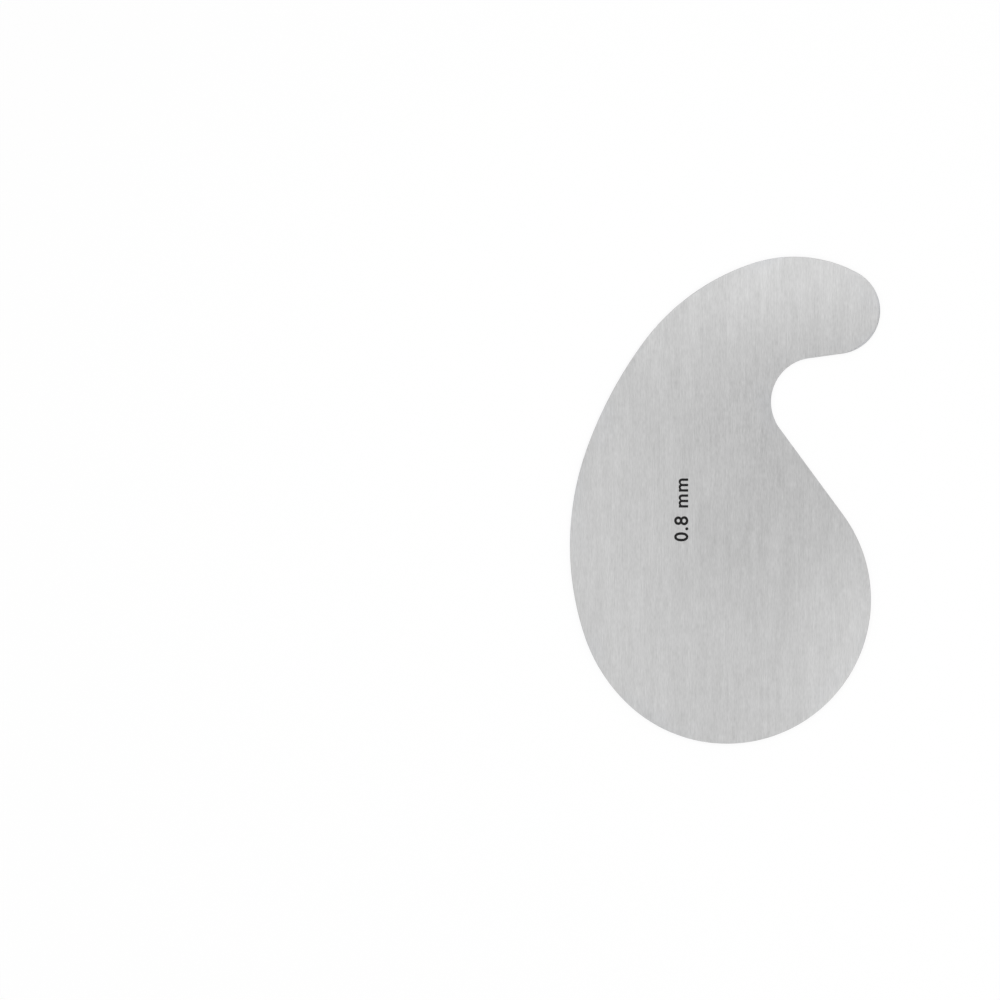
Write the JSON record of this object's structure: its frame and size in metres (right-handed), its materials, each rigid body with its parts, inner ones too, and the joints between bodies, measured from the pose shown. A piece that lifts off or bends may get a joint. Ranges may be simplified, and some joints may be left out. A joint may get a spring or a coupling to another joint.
{
  "type": "gooseneck scraper",
  "caption": "Flat spring steel hand scraper in a gooseneck outline: a large round belly and a small nose joined by a curved neck, with a hollow throat between them.",
  "frame": {"origin": "on the underside, at the middle of the blade's box", "axes": "+Y along the blade towards the crown and nose, +X across it the way the nose points, +Z out of the printed top face"},
  "size_m": [0.07, 0.11, 0.0008],
  "materials": {
    "spring_steel": "satin, brushed along the blade's length, with edges ground square",
    "mark_ink": "thin matt printing ink on the top face"
  },
  "bodies": {
    "root": {"blade": "spring_steel"}
  },
  "joints": []
}
